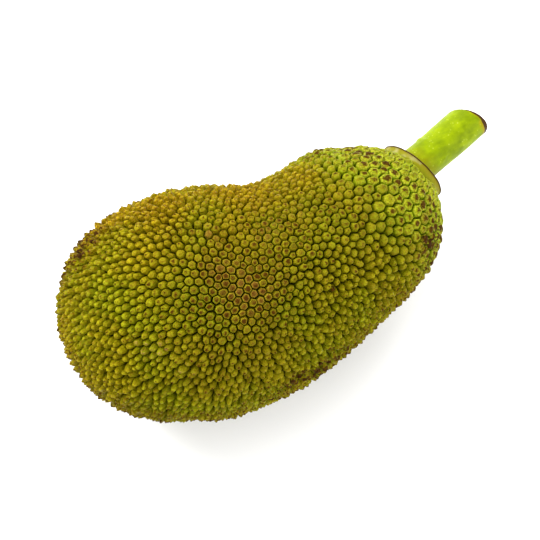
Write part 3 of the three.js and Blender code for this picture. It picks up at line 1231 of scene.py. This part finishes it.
class JACKFRUIT_OT_stem(bpy.types.Operator):
    """Make the cut stem"""

    bl_idname = "jackfruit.stem"
    bl_label = "Stem"

    def execute(self, context):
        sizes = context.scene.jackfruit_stem
        piece = linked("stem_stalk", stem_mesh(sizes))
        finished(piece, "stem", stem_finish(sizes))
        return {"FINISHED"}


class JACKFRUIT_OT_stage(bpy.types.Operator):
    """Lay the floor and set up the lights and the camera"""

    bl_idname = "jackfruit.stage"
    bl_label = "Stage"

    def execute(self, context):
        stage = context.scene.jackfruit_stage
        lay_floor(stage)
        hang_lights()
        set_camera(context, stage)
        context.scene.view_settings.view_transform = "Standard"
        return {"FINISHED"}


FLOOR_SIDE = 8.0
FLOOR_DROP = 0.0002  # how far the floor lies under the fruit, so that the two don't share a plane


def lay_floor(stage):
    """A wide plain floor just under the fruit."""
    half = FLOOR_SIDE / 2
    flat = ((-half, -half), (half, -half), (half, half), (-half, half))
    mesh = bpy.data.meshes.new("floor")
    mesh.from_pydata([(x, y, -FLOOR_DROP) for x, y in flat], [], [(0, 1, 2, 3)])
    mesh.materials.append(floor_finish(stage.floor_colour))
    linked("floor", mesh)


# Each softbox: its way round from +X, its height over the horizon, both in degrees, its distance
# from the fruit's middle and its side in metres, and its power in watts.
SOFTBOXES = (
    (125, 38, 1.5, 0.7, 24.5),
    (315, 26, 1.5, 0.9, 12),
    (200, 24, 1.6, 0.9, 5),
    (45, 28, 1.6, 0.9, 12),
    (120, 80, 1.6, 0.7, 4),
)
LIT_PLACE = Vector((0, 0, 0.1))  # the fruit's middle, to which they all point


def hang_lights():
    """Large soft lights all round the fruit, and a white sky."""
    for number, (way, height, distance, side, power) in enumerate(SOFTBOXES):
        light = bpy.data.lights.new(f"softbox_{number + 1}", "AREA")
        light.size, light.energy = side, power
        lamp = linked(light.name, light)
        way, height = math.radians(way), math.radians(height)
        flat = math.cos(height)
        back = Vector((math.cos(way) * flat, math.sin(way) * flat, math.sin(height)))
        lamp.location = LIT_PLACE + back * distance
        lamp.rotation_euler = back.to_track_quat("Z", "Y").to_euler()
    world = bpy.data.worlds.new("white_sky")
    world.use_nodes = True
    world.node_tree.nodes["Background"].inputs["Color"].default_value = (1, 1, 1, 1)
    bpy.context.scene.world = world


SENSOR_WIDTH = 36  # in millimetres, as the lens is
NEAREST, FURTHEST = 0.05, 20  # that the camera sees


def set_camera(context, stage):
    """The camera, looking down on the fruit as it lies."""
    data = bpy.data.cameras.new("camera")
    data.lens, data.sensor_width = stage.lens, SENSOR_WIDTH
    data.clip_start, data.clip_end = NEAREST, FURTHEST
    camera = linked("camera", data)
    flat = math.cos(stage.elevation)
    way = (math.sin(stage.azimuth) * flat, -math.cos(stage.azimuth) * flat)
    back = Vector((*way, math.sin(stage.elevation)))
    camera.location = Vector(stage.aim) + back * stage.distance
    camera.rotation_euler = back.to_track_quat("Z", "Y").to_euler()
    context.scene.camera = camera


class JACKFRUIT_PT_panel(bpy.types.Panel):
    """The jackfruit's pieces and their sizes"""

    bl_idname = "JACKFRUIT_PT_panel"
    bl_label = "Jackfruit"
    bl_space_type = "VIEW_3D"
    bl_region_type = "UI"
    bl_category = "Jackfruit"

    def draw(self, context):
        for group, operator in PIECES.items():
            box = self.layout.box()
            sizes = getattr(context.scene, group)
            for name in type(sizes).__annotations__:
                box.prop(sizes, name)
            box.operator(operator.bl_idname)


PIECES = {
    "jackfruit_rind": JACKFRUIT_OT_rind,
    "jackfruit_collar": JACKFRUIT_OT_collar,
    "jackfruit_stem": JACKFRUIT_OT_stem,
    "jackfruit_stage": JACKFRUIT_OT_stage,
}
GROUPS = {
    "jackfruit_rind": JACKFRUIT_PG_rind,
    "jackfruit_collar": JACKFRUIT_PG_collar,
    "jackfruit_stem": JACKFRUIT_PG_stem,
    "jackfruit_stage": JACKFRUIT_PG_stage,
}
CLASSES = (*GROUPS.values(), *PIECES.values(), JACKFRUIT_PT_panel)


def register():
    for each in CLASSES:
        bpy.utils.register_class(each)
    for name, group in GROUPS.items():
        setattr(bpy.types.Scene, name, PointerProperty(type=group))


def unregister():
    for name in GROUPS:
        delattr(bpy.types.Scene, name)
    for each in reversed(CLASSES):
        bpy.utils.unregister_class(each)


def main():
    """Builds every piece and the stage."""
    register()
    bpy.ops.jackfruit.rind()
    bpy.ops.jackfruit.collar()
    bpy.ops.jackfruit.stem()
    bpy.ops.jackfruit.stage()


if __name__ == "__main__":
    main()
